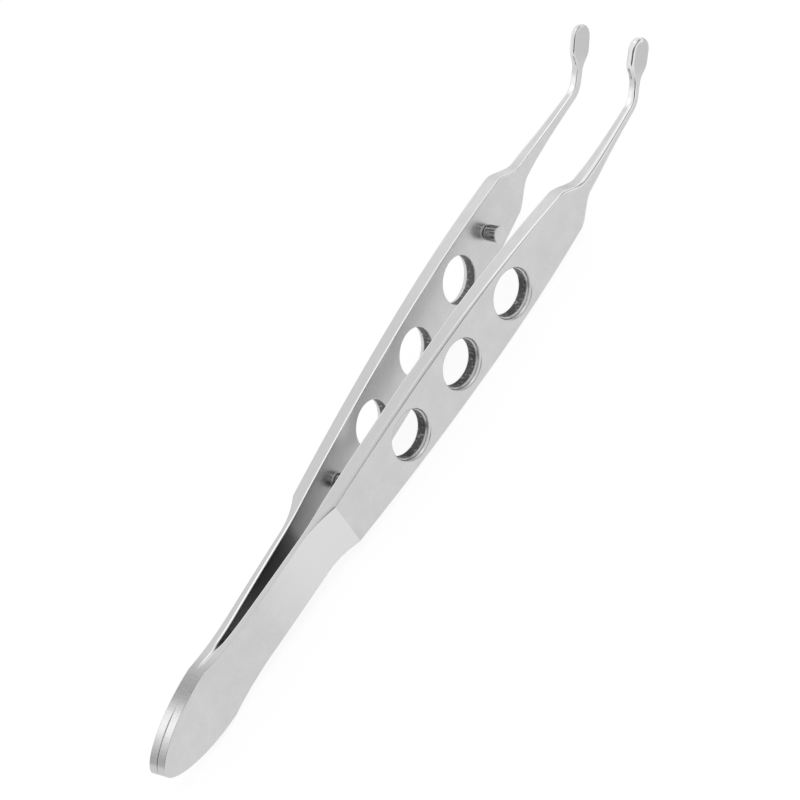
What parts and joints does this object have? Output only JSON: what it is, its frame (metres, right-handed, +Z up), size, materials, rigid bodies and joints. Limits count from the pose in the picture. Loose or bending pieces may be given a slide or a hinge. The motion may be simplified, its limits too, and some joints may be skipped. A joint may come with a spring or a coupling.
{
  "type": "meibomian gland expressor",
  "caption": "Spring forceps of two mirrored steel strips welded at the butt, with pierced handle plates, slim bent tips and small oval flat pads.",
  "frame": {"origin": "under the middle of the bounding box, on the surface that the forceps lies on", "axes": "+X from the welded butt to the pads, +Y from the near arm to the far arm, +Z up, the way the tips bend"},
  "size_m": [0.1074, 0.0118, 0.0103],
  "materials": {
    "satin_steel": "fine satin, glass-bead blasted",
    "pin_steel": "turned, left brighter than the arms"
  },
  "bodies": {
    "butt_end": {"butt": "satin_steel"},
    "near_side": {"near_arm": "satin_steel"},
    "far_side": {"far_arm": "satin_steel", "front_pin": "pin_steel", "rear_pin": "pin_steel"}
  },
  "joints": [
    {"name": "near_flex", "type": "hinge", "parent": "butt_end", "child": "near_side", "pos_m": [-0.02366, -0.00147, 0.0045], "axis": [0, 0, 1], "range_deg": [0, 3.05], "stiffness_Nm_per_rad": 3},
    {"name": "far_flex", "type": "hinge", "parent": "butt_end", "child": "far_side", "pos_m": [-0.02366, 0.00147, 0.0045], "axis": [0, 0, -1], "range_deg": [0, 3.05], "stiffness_Nm_per_rad": 3}
  ]
}
